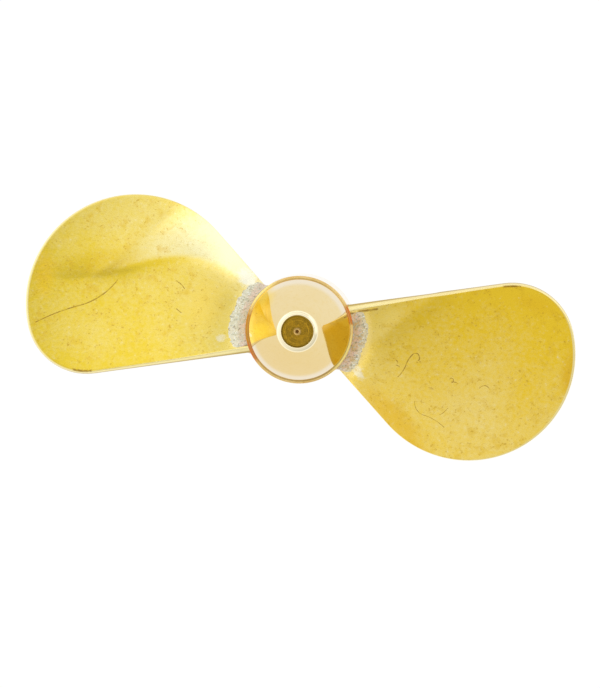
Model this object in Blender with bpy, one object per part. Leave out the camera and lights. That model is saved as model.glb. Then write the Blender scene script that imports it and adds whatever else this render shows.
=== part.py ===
"""Small two-bladed brass boat propeller: a turned hub with two twisted sheet blades soldered into slots.

The shaft axis is +Z. The hub's flat forward face lies on z = 0 and its nose points up, towards aft.
One blade lies along +X and one along -X. Seen from aft, each blade climbs towards the viewer
anticlockwise, which makes the propeller right-handed.

All lengths below are in millimetres and all angles in degrees. MM turns a length into metres.
"""

import math

import bmesh
import bpy
import numpy as np

MM = 0.001

# Blades, as seen along the shaft: a radial leading edge runs tangent into a round tip,
# a smaller corner arc follows it, and a straight trailing edge leads back to the hub.
DIAMETER = 65.0
TIP_ARC_RADIUS = 12.7
CORNER_RADIUS = 7.1
CORNER_ANGLE = 21.0
TRAILING_LEAN = 16.5
PITCH = 46.0
SHEET = 1.2
BLADE_MID_Z = 6.7
BLADE_HEADINGS = (0.0, 180.0)

# Hub, from the forward face to the parted-off nose end. A slope is the angle between the
# outward normal of the nose and the shaft axis.
HUB_RADIUS = 6.3
FACE_CHAMFER = 0.3
SHOULDER_Z = 12.3
SHOULDER_ROUND = 0.15
NOSE_BASE_RADIUS = 6.0
NOSE_BASE_SLOPE = 67.5
NOSE_TOP_SLOPE = 53.5
NOSE_RING_RADIUS = 2.4
NOSE_FLAT_RADIUS = 1.9

# Blind bore, drilled for an M4 thread.
BORE_RADIUS = 1.65
BORE_DEPTH = 9.5
DRILL_POINT = 118.0
BORE_CHAMFER = 0.4

# Slots and solder.
SLOT_DEPTH = 1.0
SOLDER_FILM = 0.1
SOLDER_REACH = 1.8
SOLDER_RISE = 1.1
SOLDER_END_MARGIN = 0.8
EDGE_CLEAR = 0.35

HUB_SEGMENTS = 72
BLADE_STATIONS = 26
CHORD_STEPS = 14
SOLDER_STEPS = 28
SOLDER_ARC_STEPS = 5

RISE_PER_RADIAN = PITCH / (2 * math.pi)
TIP_RADIUS = DIAMETER / 2
TIP_ARC_DISTANCE = TIP_RADIUS - TIP_ARC_RADIUS
ROOT_RADIUS = HUB_RADIUS - SLOT_DEPTH


def clear_scene():
    for item in list(bpy.data.objects):
        bpy.data.objects.remove(item, do_unlink=True)


def brass(name, colour, roughness):
    material = bpy.data.materials.new(name)
    material.use_nodes = True
    shader = material.node_tree.nodes["Principled BSDF"]
    shader.inputs["Base Color"].default_value = (*colour, 1.0)
    shader.inputs["Metallic"].default_value = 1.0
    shader.inputs["Roughness"].default_value = roughness
    return material


def circle_crossing(radius, distance, arc_radius):
    """Half the angle between the two places where a circle about the shaft crosses an arc's circle.

    The arc's centre lies at the given distance from the shaft.
    """
    cosine = (radius**2 + distance**2 - arc_radius**2) / (2 * radius * distance)
    return math.acos(max(-1.0, min(1.0, cosine)))


def corner_arc():
    """Distance and angle of the corner arc's centre, and the radii where the arc starts and ends."""
    heading = math.radians(CORNER_ANGLE)
    inset = TIP_ARC_RADIUS - CORNER_RADIUS
    x = TIP_ARC_DISTANCE + inset * math.cos(heading)
    y = inset * math.sin(heading)
    outer = math.hypot(
        TIP_ARC_DISTANCE + TIP_ARC_RADIUS * math.cos(heading),
        TIP_ARC_RADIUS * math.sin(heading),
    )
    normal = math.radians(90.0 + TRAILING_LEAN)
    inner = math.hypot(x + CORNER_RADIUS * math.cos(normal), y + CORNER_RADIUS * math.sin(normal))
    line_distance = x * math.cos(normal) + y * math.sin(normal) + CORNER_RADIUS
    return math.hypot(x, y), math.atan2(y, x), inner, outer, line_distance


CORNER_DISTANCE, CORNER_HEADING, CORNER_INNER, CORNER_OUTER, TRAILING_DISTANCE = corner_arc()
TANGENT_RADIUS = math.sqrt(TIP_ARC_DISTANCE**2 - TIP_ARC_RADIUS**2)


def leading_angle(radius):
    """Outline angle of the leading edge, in radians from the blade's own axis."""
    if radius < TANGENT_RADIUS:
        return -math.asin(TIP_ARC_RADIUS / TIP_ARC_DISTANCE)
    return -circle_crossing(radius, TIP_ARC_DISTANCE, TIP_ARC_RADIUS)


def trailing_angle(radius):
    """Outline angle of the trailing edge, in radians from the blade's own axis."""
    if radius < CORNER_INNER:
        return math.radians(90.0 + TRAILING_LEAN) - math.acos(TRAILING_DISTANCE / radius)
    if radius < CORNER_OUTER:
        return CORNER_HEADING + circle_crossing(radius, CORNER_DISTANCE, CORNER_RADIUS)
    return circle_crossing(radius, TIP_ARC_DISTANCE, TIP_ARC_RADIUS)


def pitch_angle(radius):
    return math.atan2(RISE_PER_RADIAN, radius)


def sheet_point(radius, angle, offset):
    """Point on the twisted sheet, moved along the sheet's normal by the offset, towards aft."""
    slope = pitch_angle(radius)
    along = -offset * math.sin(slope)
    x = radius * math.cos(angle) - along * math.sin(angle)
    y = radius * math.sin(angle) + along * math.cos(angle)
    z = BLADE_MID_Z + RISE_PER_RADIAN * angle + offset * math.cos(slope)
    return (x * MM, y * MM, z * MM)


def blade_edges(radius):
    """Edge angles of the sheet's middle surface.

    The cut edges stand square to the sheet, so each edge is set in by half the sheet's
    sideways lean, and the outline seen along the shaft stays the one above.
    """
    low = leading_angle(radius)
    high = trailing_angle(radius)
    lean = 0.5 * SHEET * math.sin(pitch_angle(radius)) / radius
    lean = min(lean, 0.25 * (high - low))
    return low + lean, high - lean


def slot_edges(radius):
    """Edge angles of the slot, which passes the blade's edges by the solder film."""
    low, high = blade_edges(radius)
    film = SOLDER_FILM / radius
    return low - film, high + film


def sheet_solid(name, radii, edges, thickness):
    """Closed twisted sheet: an aft and a forward face, joined all round by square cut edges."""
    half = thickness / 2
    grid = []
    for radius in radii:
        low, high = edges(radius)
        angles = np.linspace(low, high, CHORD_STEPS + 1)
        front = [sheet_point(radius, angle, half) for angle in angles]
        back = [sheet_point(radius, angle, -half) for angle in reversed(angles)]
        grid.append(front + back)
    shape = bmesh.new()
    rings = [[shape.verts.new(point) for point in ring] for ring in grid]
    count = len(rings[0])
    for inner, outer in zip(rings, rings[1:]):
        for step in range(count):
            after = (step + 1) % count
            shape.faces.new((inner[step], inner[after], outer[after], outer[step]))
    for ring in (rings[0], rings[-1]):
        for step in range(CHORD_STEPS):
            other = count - 1 - step
            shape.faces.new((ring[step], ring[step + 1], ring[other - 1], ring[other]))
    return finish_mesh(name, shape)


def finish_mesh(name, shape):
    """Merge points that fall together at a tip, split the faces into triangles and face them out."""
    bmesh.ops.remove_doubles(shape, verts=shape.verts[:], dist=0.002 * MM)
    bmesh.ops.dissolve_degenerate(shape, dist=0.0005 * MM, edges=shape.edges[:])
    bmesh.ops.triangulate(shape, faces=shape.faces[:])
    bmesh.ops.recalc_face_normals(shape, faces=shape.faces[:])
    mesh = bpy.data.meshes.new(name)
    shape.to_mesh(mesh)
    shape.free()
    mesh.shade_smooth()
    mesh.set_sharp_from_angle(angle=math.radians(35.0))
    return mesh


def add_object(name, mesh, material, heading=0.0):
    item = bpy.data.objects.new(name, mesh)
    item.rotation_euler = (0.0, 0.0, math.radians(heading))
    item.data.materials.clear()
    item.data.materials.append(material)
    bpy.context.scene.collection.objects.link(item)
    return item


def station_radii(start, end, count):
    """Radii that crowd towards the end, where the round tip closes."""
    return [start + (end - start) * math.sin(0.5 * math.pi * step / count) for step in range(count + 1)]


def arc_points(centre, radius, start, end, steps):
    """Points on a profile arc, given by the angle of its outward normal from the shaft axis."""
    angles = np.linspace(math.radians(start), math.radians(end), steps + 1)
    return [(centre[0] + radius * math.sin(a), centre[1] + radius * math.cos(a)) for a in angles]


def slope_arc(start, start_slope, end_radius, end_slope, steps):
    """Points on the profile arc from a point to a radius, given the slopes at both ends."""
    first = math.sin(math.radians(start_slope))
    last = math.sin(math.radians(end_slope))
    arc_radius = (start[0] - end_radius) / (first - last)
    centre = (start[0] - arc_radius * first, start[1] - arc_radius * math.cos(math.radians(start_slope)))
    return arc_points(centre, arc_radius, start_slope, end_slope, steps)


def nose_profile():
    """Profile from the side up to the nose flat: narrow rounded shoulder, long ogive, end rounding."""
    shoulder_centre = (HUB_RADIUS - SHOULDER_ROUND, SHOULDER_Z - SHOULDER_ROUND)
    shoulder = arc_points(shoulder_centre, SHOULDER_ROUND, 90.0, 0.0, 3)
    base = (NOSE_BASE_RADIUS, SHOULDER_Z)
    ogive = slope_arc(base, NOSE_BASE_SLOPE, NOSE_RING_RADIUS, NOSE_TOP_SLOPE, 8)
    end = slope_arc(ogive[-1], NOSE_TOP_SLOPE, NOSE_FLAT_RADIUS, 0.0, 3)
    return shoulder + ogive + end[1:]


def hub_profile():
    """Radius and height of the hub's outline, from the bottom of the bore round to the nose end."""
    point_depth = BORE_RADIUS / math.tan(math.radians(DRILL_POINT / 2))
    profile = [
        (0.0, BORE_DEPTH + point_depth),
        (BORE_RADIUS, BORE_DEPTH),
        (BORE_RADIUS, BORE_CHAMFER),
        (BORE_RADIUS + BORE_CHAMFER, 0.0),
        (HUB_RADIUS - FACE_CHAMFER, 0.0),
        (HUB_RADIUS, FACE_CHAMFER),
    ]
    profile += nose_profile()
    profile.append((0.0, profile[-1][1]))
    return profile


def turned_mesh(name, profile):
    """Spin the profile once round the shaft axis."""
    shape = bmesh.new()
    points = [shape.verts.new((radius * MM, 0.0, height * MM)) for radius, height in profile]
    edges = [shape.edges.new(pair) for pair in zip(points, points[1:])]
    bmesh.ops.spin(
        shape,
        geom=points + edges,
        cent=(0.0, 0.0, 0.0),
        axis=(0.0, 0.0, 1.0),
        angle=2 * math.pi,
        steps=HUB_SEGMENTS,
        use_merge=True,
    )
    return finish_mesh(name, shape)


def cut_slots(hub, material):
    """Cut one twisted slot for each blade into the side of the hub."""
    radii = np.linspace(ROOT_RADIUS - SOLDER_FILM, HUB_RADIUS + SHEET, 4)
    for number, heading in enumerate(BLADE_HEADINGS, start=1):
        mesh = sheet_solid(f"slot_cutter_{number}", radii, slot_edges, SHEET + 2 * SOLDER_FILM)
        cutter = add_object(f"slot_cutter_{number}", mesh, material, heading)
        cutter.hide_render = True
        cutter.display_type = "WIRE"
        cut = hub.modifiers.new(f"slot_{number}", "BOOLEAN")
        cut.operation = "DIFFERENCE"
        cut.solver = "EXACT"
        cut.object = cutter


def solder_section(angle, side):
    """Section of one fillet: out along the blade face, then a hollow arc back up the hub.

    Each point is a radius and a height. The rise is cut short where the fillet would pass
    the hub's shoulder or its forward face.
    """
    face_rise = 0.5 * SHEET / math.cos(pitch_angle(HUB_RADIUS))
    face_z = BLADE_MID_Z + RISE_PER_RADIAN * angle + side * face_rise
    room = SHOULDER_Z - face_z if side > 0 else face_z
    rise = max(2 * SOLDER_FILM, min(SOLDER_RISE, room - EDGE_CLEAR))
    section = [(HUB_RADIUS + SOLDER_FILM, SOLDER_FILM)]
    for turn in np.linspace(0.0, 0.5 * math.pi, SOLDER_ARC_STEPS + 1):
        out = SOLDER_REACH - (SOLDER_REACH - SOLDER_FILM) * math.sin(turn)
        up = rise - (rise - SOLDER_FILM) * math.cos(turn)
        section.append((HUB_RADIUS + out, up))
    points = []
    for radius, up in section:
        slope = math.cos(pitch_angle(radius))
        z = BLADE_MID_Z + RISE_PER_RADIAN * angle + side * (0.5 * SHEET / slope + up)
        points.append((radius * math.cos(angle) * MM, radius * math.sin(angle) * MM, z * MM))
    return points


def solder_mesh(name, side):
    """Closed fillet along one face of a blade's root. The side is 1 for aft and -1 for forward."""
    margin = math.radians(SOLDER_END_MARGIN)
    low, high = blade_edges(HUB_RADIUS + SOLDER_REACH)
    shape = bmesh.new()
    rings = []
    for angle in np.linspace(low + margin, high - margin, SOLDER_STEPS + 1):
        rings.append([shape.verts.new(point) for point in solder_section(angle, side)])
    count = len(rings[0])
    for first, second in zip(rings, rings[1:]):
        for step in range(count):
            after = (step + 1) % count
            shape.faces.new((first[step], first[after], second[after], second[step]))
    shape.faces.new(rings[0])
    shape.faces.new(rings[-1])
    return finish_mesh(name, shape)


def build_hub():
    material = brass("hub_brass", (0.84, 0.70, 0.38), 0.22)
    hub = add_object("hub", turned_mesh("hub", hub_profile()), material)
    cut_slots(hub, material)


def build_blades():
    material = brass("blade_brass", (0.87, 0.63, 0.13), 0.3)
    radii = station_radii(ROOT_RADIUS, TIP_RADIUS, BLADE_STATIONS)
    for number, heading in enumerate(BLADE_HEADINGS, start=1):
        mesh = sheet_solid(f"blade_{number}", radii, blade_edges, SHEET)
        add_object(f"blade_{number}", mesh, material, heading)


def build_solder():
    material = brass("silver_solder", (0.66, 0.58, 0.44), 0.5)
    for number, heading in enumerate(BLADE_HEADINGS, start=1):
        for side, end in ((1, "aft"), (-1, "forward")):
            name = f"solder_{number}_{end}"
            add_object(name, solder_mesh(name, side), material, heading)


def main():
    clear_scene()
    build_hub()
    build_blades()
    build_solder()


main()
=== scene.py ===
"""Looks of a small brass boat propeller: two twisted sheet blades with rounded edges, a turned hub
with its thread, shoulder and nose rings, and the silver-solder crust along the blades' roots.

Every piece is a closed surface worked out on a grid of two parameters. Lengths are in millimetres
and angles in degrees, and a mesh is turned into metres when it is made. The photograph looks down
the shaft onto the nose, with blade 1 on its right and blade 2 on its left.
"""

import functools
import itertools
import math

import bpy
import numpy as np
from mathutils import Matrix, Vector


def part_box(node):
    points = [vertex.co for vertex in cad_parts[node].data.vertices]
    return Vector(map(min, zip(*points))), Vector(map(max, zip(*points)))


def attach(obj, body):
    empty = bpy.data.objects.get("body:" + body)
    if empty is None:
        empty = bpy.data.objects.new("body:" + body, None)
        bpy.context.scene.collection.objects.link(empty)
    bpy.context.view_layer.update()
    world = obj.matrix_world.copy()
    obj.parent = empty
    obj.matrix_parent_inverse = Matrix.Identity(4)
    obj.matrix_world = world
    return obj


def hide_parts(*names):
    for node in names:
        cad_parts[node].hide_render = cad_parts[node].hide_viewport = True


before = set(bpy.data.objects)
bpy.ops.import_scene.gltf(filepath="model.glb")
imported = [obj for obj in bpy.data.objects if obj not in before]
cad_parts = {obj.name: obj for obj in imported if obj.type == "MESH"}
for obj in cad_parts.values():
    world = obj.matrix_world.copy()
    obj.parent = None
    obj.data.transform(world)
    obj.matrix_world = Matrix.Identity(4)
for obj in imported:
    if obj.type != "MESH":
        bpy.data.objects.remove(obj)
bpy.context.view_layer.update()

MM = 0.001

# Read from the frame.
TIP_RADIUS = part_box("blade_1")[1].x / MM
HUB_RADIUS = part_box("hub")[1].x / MM
HUB_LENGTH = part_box("hub")[1].z / MM

# Blades, as seen along the shaft, repeated from the source of the solids. Each blade's corner radius
# is its own.
TIP_ARC_RADIUS = 12.7
TIP_ARC_DISTANCE = TIP_RADIUS - TIP_ARC_RADIUS
CORNER_RADII = {"blade_1": 7.26, "blade_2": 7.08}
CORNER_ANGLE = 21.0
TRAILING_LEAN = 16.5
PITCH = 46.0
RISE_PER_RADIAN = PITCH / (2 * math.pi)
BLADE_MID_Z = 6.7
ROOT_DEPTH = 0.9
ROOT_RADIUS = HUB_RADIUS - ROOT_DEPTH
# Where the leading edge starts and the trailing edge ends inside the hub, as shares of ROOT_RADIUS.
LEADING_START = 0.6
TRAILING_END = 0.5

# The sheet is thinner than the source's, as the trailing edges look in the photograph.
SHEET = 1.0
EDGE_ROUND = 0.15
OUTLINE_BLUR = 0.25
# How far the painted highlight of the edge spreads onto its rounding at the tip, as a share.
TIP_HIGHLIGHT_SPREAD = 0.8

# Points of the blades: on the plan curve, on their skins, and the step that a slope is taken over.
PLAN_POINTS = 4000
TIP_ARC_POINTS = 400
CORNER_ARC_POINTS = 200
ROOT_ARC_POINTS = 60
BLADE_COLUMNS = 420
BLADE_RINGS = 60
EDGE_RINGS = 6
SLOPE_STEP = 0.01

# Hand-made creases: knots along the blade and across it, height, how far it reaches to its left and
# right, and where it starts and ends. One that doesn't reach to its left swells to its right only.
BLADE_CREASES = {
    "blade_1": [
        ([(8.6, -0.4), (11.0, 2.3), (13.6, 4.8), (15.7, 6.7)],
         0.25, (1.2, 2.4), (8.5, 16.0)),
    ],
    "blade_2": [
        ([(8.5, -4.6), (11.0, -5.7), (14.1, -6.2), (17.0, -5.7), (20.2, -4.4), (23.5, -2.9)],
         0.26, (1.8, 3.2), (9.5, 22.0)),
        ([(15.8, -11.6), (18.1, -9.7), (21.2, -6.6), (23.2, -3.9), (25.3, -2.1)],
         0.12, (1.6, 1.6), (16.5, 25.0)),
        ([(19.1, -4.3), (20.8, -3.6), (22.5, -2.9), (24.2, -2.4), (25.9, -1.9), (27.6, -1.6)],
         0.25, (0.0, 2.4), (21.5, 29.0)),
    ],
}
CREST_ROUND = 0.3
KINK_ROUND = 0.2
CREASE_FADE = 0.8
# How far a crease's line is followed before its first knot and past its last one.
LINE_BEFORE = 1.0
LINE_PAST = 3.0

# The painted highlight between a blade's first two creases. It starts beside their lines, and along
# the blade it weakens to a share of itself and then ends: place and width of each soft step.
HIGHLIGHT_BESIDE_FIRST = (-0.2, 0.6)
HIGHLIGHT_BESIDE_SECOND = (0.4, 2.2)
HIGHLIGHT_WEAKENS = (18.5, 7.0)
HIGHLIGHT_WEAK_SHARE = 0.35
HIGHLIGHT_ENDS = (24.0, 4.0)
# Painted shade along the foot on the other side of the first crease: how dark it is, its soft steps
# and its reach.
FOOT_SHADE_STRENGTH = 0.5
FOOT_BESIDE = (-0.2, 0.5)
FOOT_STARTS = (15.0, 4.0)
FOOT_ENDS = (22.0, 3.0)
FOOT_REACH = 0.7

# Solder runs: node, heading, side, seed, reach at the leading edge, middle and trailing edge, and
# span in degrees.
SOLDER_RUNS = [
    ("solder_1_aft", 0.0, 1, 11, (2.1, 2.2, 2.35), (-37.0, 29.0)),
    ("solder_1_forward", 0.0, -1, 23, (1.8, 1.8, 1.8), (-34.0, 30.0)),
    ("solder_2_aft", 180.0, 1, 37, (2.4, 2.3, 2.9), (-37.0, 29.0)),
    ("solder_2_forward", 180.0, -1, 53, (1.8, 1.8, 1.8), (-34.0, 30.0)),
]
SOLDER_ROWS = 260
SOLDER_FACE = 40
SOLDER_RISE = 1.1
# Section: power of its hollow curve, how deep its back lies in the hub and in the blade, how deep
# its toe is sunk, and how far the back stays behind the toe and below the top.
SOLDER_HOLLOW = 1.6
SOLDER_BACK = 0.3
TOE_SUNK = 0.06
BEHIND_TOE = 0.15
BELOW_TOP = 0.1
# Ends of a run: the higher the power, the blunter they are.
SOLDER_END_POWER = 9
# How the toe and the rise wander along the hub's wall: size of the waves, and how far they go.
WALL_RADIUS = 6.0
WANDER_SIZE = 1.1
RAGGED_SIZE = 0.25
TOE_WANDER = 0.25
TOE_RAGGED = 0.14
RISE_WANDER = 0.2
# Sizes and heights of the solder's lumps, and how much sooner than the wall they end.
SOLDER_LUMPS = [(0.8, 0.06), (0.4, 0.045), (0.18, 0.03)]
LUMPS_END = 1.1

# Numbers that scatter the values of the lattice noise.
NOISE_STEPS = (127.1, 311.7, 74.7)
NOISE_SEED_STEP = 37.7
NOISE_SCATTER = 43758.5453

# Hub profile, repeated from the source of the solids.
SHOULDER_Z = 12.3
SHOULDER_ROUND = 0.15
FACE_CHAMFER = 0.3
NOSE_BASE_RADIUS = 6.0
NOSE_BASE_SLOPE = 67.5
NOSE_TOP_SLOPE = 53.5
NOSE_RING_RADIUS = 2.4
NOSE_FLAT_RADIUS = 1.9
BORE_RADIUS = 1.65
BORE_DEPTH = 9.5
BORE_CHAMFER = 0.4
DRILL_POINT = 118.0

# Small rounding of the profile's corners, longest step between its points, and points of its arcs.
CORNER_CUT = 0.06
PROFILE_STEP = 0.06
NOSE_POINTS = 70
NOSE_ROUND_POINTS = 24
NOSE_END_POINTS = 150
SHOULDER_POINTS = 9
HUB_COLUMNS = 128

# The parted-off end: the groove at its edge, and its rings, each with radius, height and width.
END_GROOVE_DEPTH = 0.012
END_GROOVE_WIDTH = 0.04
END_RINGS = [
    (0.0, -0.05, 0.08),
    (0.3, 0.004, 0.08),
    (0.78, 0.002, 0.08),
    (1.38, 0.003, 0.08),
    (1.72, -0.002, 0.06),
]

# Thread in the bore: its groove's top and slope in shares of the depth over one pitch, how far it
# runs out at its end and runs in past the chamfer, and how far past its radius the bore's wall counts.
THREAD_PITCH = 0.7
THREAD_DEPTH = 0.33
THREAD_LENGTH = 8.2
THREAD_TOP = 1.25
THREAD_SLOPE = 2.6
THREAD_RUN_OUT = 0.5
THREAD_RUN_IN = 0.3
WALL_SLACK = 0.01

# The photograph: its width and the distance between the tips in pixels, the real size of that
# distance, how the part is turned in it, and where the hub lies off its centre.
PHOTO_PIXELS = 600
TIPS_APART_PIXELS = 553.4
TIPS_APART = 65.0
PHOTO_WIDTH = PHOTO_PIXELS * TIPS_APART / TIPS_APART_PIXELS
PHOTO_TURN = 8.65
PHOTO_CENTRE_BELOW_HUB = 1.845
PHOTO_CENTRE_RIGHT_OF_HUB = -0.075
CAMERA_DISTANCE = 1200.0
CAMERA_TILT = 2.6
CAMERA_TILT_TOWARD = 45.0
CAMERA_NEAREST = 10.0
CAMERA_FARTHEST = 10000.0

# The light table under the part.
FLOOR_HALF_SIZE = 600.0
FLOOR_GREY = 0.06
FLOOR_GLOW = 0.97

# The dome, by lean from straight above: dim in its middle, a bright ring round that, a dimmer ring
# further out, and a strip at the horizon. A ring has its two leans and its softness.
DOME_MIDDLE = (5.0, 9.0)
DOME_MIDDLE_SHARE = 0.32
BRIGHT_RING = (8.5, 13.0, 2.5)
BRIGHT_RING_STRENGTH = 0.8
DIM_RING = (17.0, 25.0, 3.0)
DIM_RING_LOSS = 0.2
HORIZON_RING = (86.0, 95.0, 2.0)
HORIZON_STRENGTH = 0.5
# How much stronger the dome is towards a bearing of the photograph, and the horizon towards its top.
DOME_STRENGTH = 0.97
DOME_BRIGHT_BEARING = 130.0
DOME_BRIGHTER = 0.3
HORIZON_BRIGHTER = 0.1
# Windows of light in the dome, and shades where the strength is below 0: bearing, half width, leans,
# softness and strength.
DOME_LIGHTS = [
    (22.0, 30.0, (36.0, 76.0), 9.0, 0.46),
    (150.0, 25.0, (32.0, 72.0), 9.0, 0.05),
    (150.0, 25.0, (72.0, 88.0), 5.0, 0.25),
    (84.0, 32.0, (52.0, 84.0), 9.0, -0.15),
    (95.0, 28.0, (66.0, 86.0), 6.0, -0.15),
    (81.0, 35.0, (16.0, 29.0), 4.0, -0.12),
    (240.0, 35.0, (70.0, 86.0), 5.0, -0.03),
]


def arc(centre, radius, start, end, count):
    """Points on an arc, from one angle to another."""
    turn = np.radians(np.linspace(start, end, count))
    return np.column_stack([centre[0] + radius * np.cos(turn), centre[1] + radius * np.sin(turn)])


def even_line(points, count):
    """The polyline, read again at a number of evenly spaced places."""
    along = np.concatenate([[0.0], np.cumsum(np.hypot(*np.diff(points, axis=0).T))])
    places = np.linspace(0.0, along[-1], count)
    return np.column_stack([np.interp(places, along, points[:, axis]) for axis in (0, 1)])


def plan_edge(corner_radius):
    """Plan curve of a blade from inside the hub along its radial leading edge, tip and corner arcs and
    straight trailing edge back into the hub."""
    tip = (TIP_ARC_DISTANCE, 0.0)
    heading = math.radians(CORNER_ANGLE)
    inset = TIP_ARC_RADIUS - corner_radius
    corner = (tip[0] + inset * math.cos(heading), inset * math.sin(heading))
    lead = math.degrees(math.asin(TIP_ARC_RADIUS / TIP_ARC_DISTANCE))
    start = arc((0.0, 0.0), LEADING_START * ROOT_RADIUS, -lead, -lead, 1)
    tip_arc = arc(tip, TIP_ARC_RADIUS, -90.0 - lead, CORNER_ANGLE, TIP_ARC_POINTS)
    corner_arc = arc(corner, corner_radius, CORNER_ANGLE, 90.0 + TRAILING_LEAN, CORNER_ARC_POINTS)
    run = corner_arc[-1, 0] - TRAILING_END * ROOT_RADIUS
    end = corner_arc[-1:] - run * np.array([[1.0, math.tan(math.radians(TRAILING_LEAN))]])
    return np.vstack([start, tip_arc, corner_arc, end])


def outward_normals(loop):
    """Unit normals to the right of a plan curve's direction."""
    along = np.gradient(loop, axis=0)
    along /= np.linalg.norm(along, axis=1, keepdims=True)
    return np.column_stack([along[:, 1], -along[:, 0]])


def sideways(loop, normals):
    """How much of each normal points round the shaft."""
    return np.abs(normals[:, 1] * loop[:, 0] - normals[:, 0] * loop[:, 1]) / np.hypot(*loop.T)


def smooth_loop(loop, width):
    """The closed, evenly spaced loop, blurred along itself with a bell of the given width."""
    step = np.linalg.norm(loop[1] - loop[0])
    waves = np.fft.fftfreq(len(loop), step) * 2 * math.pi
    blur = np.exp(-0.5 * (waves * width) ** 2)
    return np.real(np.fft.ifft(np.fft.fft(loop, axis=0) * blur[:, None], axis=0))


def middle_edge(corner_radius):
    """Closed plan outline of the sheet's middle: set in where the sheet leans, so that its cut and
    rounded edge ends on the plan edge, closed inside the hub, with small rounded corners there."""
    plan = even_line(plan_edge(corner_radius), PLAN_POINTS)
    normals = outward_normals(plan)
    tilt = np.sin(np.arctan2(RISE_PER_RADIAN, np.hypot(*plan.T))) * sideways(plan, normals)
    inset = 0.5 * SHEET * tilt - EDGE_ROUND * (tilt + np.sqrt(1 - tilt**2) - 1)
    edge = plan - normals * inset[:, None]
    edge = edge[np.hypot(*edge.T) > ROOT_RADIUS]
    ends = np.degrees(np.arctan2(edge[[-1, 0], 1], edge[[-1, 0], 0]))
    root = arc((0.0, 0.0), ROOT_RADIUS, ends[0], ends[1], ROOT_ARC_POINTS)
    loop = even_line(np.vstack([edge, root[1:]]), BLADE_COLUMNS + 1)[:-1]
    return smooth_loop(loop, OUTLINE_BLUR)


def edge_frame(corner_radius):
    """The blade's middle edge, its outward normals, and how much each of them points round the shaft."""
    edge = middle_edge(corner_radius)
    ends = np.vstack([edge[-1:], edge, edge[:1]])
    outward = outward_normals(ends)[1:-1]
    return edge, outward, sideways(edge, outward)


def beside(x, y, knots):
    """How far a plan point lies to the left of the cubic through the knots."""
    along = np.array([knot[0] for knot in knots])
    cubic = np.polyfit(along, [knot[1] for knot in knots], 3)
    near = np.clip(x, along.min() - LINE_BEFORE, along.max() + LINE_PAST)
    return (y - np.polyval(cubic, near)) / np.sqrt(1 + np.polyval(np.polyder(cubic), near) ** 2)


def crease(x, y, knots, height, reaches, ends):
    """A long fold over the cubic through the knots: it falls off to both sides and fades at its ends.

    A fold that doesn't reach to its left starts at a kink there, swells and falls off to its right.
    """
    across = beside(x, y, knots)
    if reaches[0]:
        away = np.sqrt(across**2 + CREST_ROUND**2) - CREST_ROUND
        fall = np.exp(-away / np.where(across > 0, *reaches))
    else:
        away = 0.5 * (np.sqrt(across**2 + KINK_ROUND**2) - across) / reaches[1]
        fall = away * np.exp(-away)
    fading_in = 1 + np.exp((ends[0] - x) / CREASE_FADE)
    fading_out = 1 + np.exp((x - ends[1]) / CREASE_FADE)
    return height * fall / fading_in / fading_out


def sheet_height(x, y, creases):
    """Height of the sheet's middle: it climbs evenly with the angle about the shaft, and its creases
    are added to that."""
    climb = BLADE_MID_Z + RISE_PER_RADIAN * np.arctan2(y, x)
    return climb + sum(crease(x, y, *values) for values in creases)


def sheet_normal(x, y, creases):
    """Unit normal of the sheet's middle surface, from its slopes along x and y."""
    step = SLOPE_STEP
    slope_x = (sheet_height(x + step, y, creases) - sheet_height(x - step, y, creases)) / (2 * step)
    slope_y = (sheet_height(x, y + step, creases) - sheet_height(x, y - step, creases)) / (2 * step)
    normal = np.stack([-slope_x, -slope_y, np.ones_like(x)], axis=-1)
    return normal / np.linalg.norm(normal, axis=-1, keepdims=True)


def sheet_point(x, y, offset, creases=()):
    """Point at an offset from the sheet's middle surface, along its normal over a plan point."""
    middle = np.stack([x, y, sheet_height(x, y, creases)], axis=-1)
    return middle + sheet_normal(x, y, creases) * offset[..., None]


def edge_profile():
    """Inset and offset of the sheet's edge: quarter round, square cut, quarter round."""
    turn = np.linspace(0.0, 0.5 * math.pi, EDGE_RINGS)
    inset = EDGE_ROUND * (1 - np.sin(turn))
    offset = SHEET / 2 - EDGE_ROUND * (1 - np.cos(turn))
    return np.concatenate([inset, inset[::-1]]), np.concatenate([offset, -offset[::-1]])


def blade_rows(corner_radius, creases):
    """Rows of the blade's skin: from the middle of its aft face over the edge to the middle of its
    forward face.

    The faces are the sheet's outline shrunk towards a middle point, and every plan point is lifted to
    the sheet's middle surface and moved along its normal.
    """
    edge, outward, aside = edge_frame(corner_radius)
    stretch = np.sqrt(1 + (RISE_PER_RADIAN / np.hypot(*edge.T) * aside) ** 2)
    insets, offsets = edge_profile()
    edge_rows = edge[None] - outward[None] * (insets[:, None] / stretch[None])[..., None]
    middle = np.array([TIP_ARC_DISTANCE, 0.0])
    share = np.linspace(0.0, 1.0, BLADE_RINGS)[:-1, None, None]
    face_rows = middle + (edge_rows[:1] - middle) * share
    plan = np.concatenate([face_rows, edge_rows, face_rows[::-1]])
    half = np.full(len(face_rows), SHEET / 2)
    offset = np.concatenate([half, offsets, -half])
    flat = np.broadcast_to(offset[:, None], plan.shape[:2])
    return sheet_point(plan[..., 0], plan[..., 1], flat, creases)


def blade_edge(corner_radius):
    """For each point of a blade, 0 on its faces, rising to 1 over the rounding, and 1 on the square cut.

    At the tip it rises early, so that the painted highlight on the rim there is wider.
    """
    early = TIP_HIGHLIGHT_SPREAD * (1 - edge_frame(corner_radius)[2])
    rounding = 1 - edge_profile()[0][:, None] / EDGE_ROUND
    face = np.zeros((BLADE_RINGS - 1, BLADE_COLUMNS))
    return np.concatenate([face, early + (1 - early) * rounding, face])


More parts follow.
